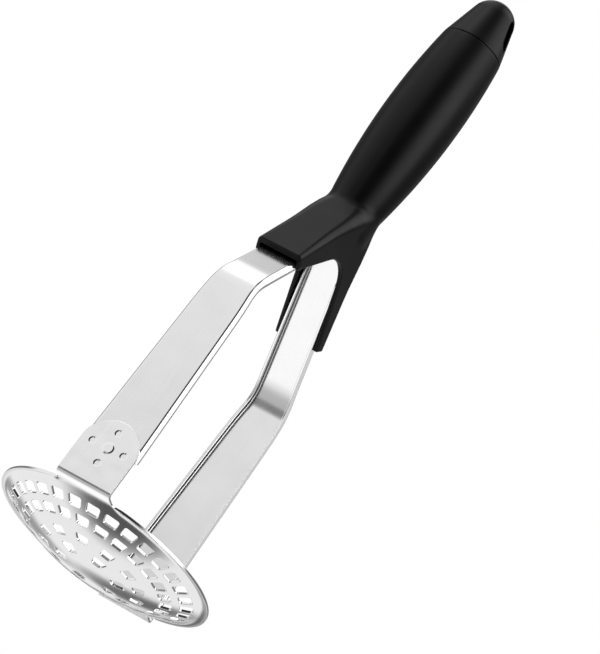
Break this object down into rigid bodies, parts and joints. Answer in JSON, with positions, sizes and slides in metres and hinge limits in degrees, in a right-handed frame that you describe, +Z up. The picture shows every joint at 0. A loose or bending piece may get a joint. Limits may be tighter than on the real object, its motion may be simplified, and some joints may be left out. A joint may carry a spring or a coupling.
{
  "type": "potato masher",
  "caption": "Potato masher: domed pierced steel plate on splayed channel straps, with a forked black moulded grip and a hanging slot in its end cap.",
  "frame": {"origin": "lowest point of the domed plate, on the handle's axis, at the centre of the bounding box's base", "axes": "+Z up the handle from plate to cap, Y from strap to strap, X across the width of the straps"},
  "size_m": [0.09, 0.101, 0.28],
  "materials": {
    "steel_sheet": "bright, finely brushed stainless sheet",
    "plated_steel": "zinc plated",
    "black_plastic": "satin moulded"
  },
  "bodies": {
    "root": {"masher_plate": "steel_sheet", "front_strap": "steel_sheet", "rear_strap": "steel_sheet", "tang_block": "plated_steel", "tang_rivets": "plated_steel", "handle_body": "black_plastic", "draw_screw": "plated_steel", "flat_washer": "plated_steel", "spring_washer": "plated_steel", "end_cap": "black_plastic"}
  },
  "joints": []
}
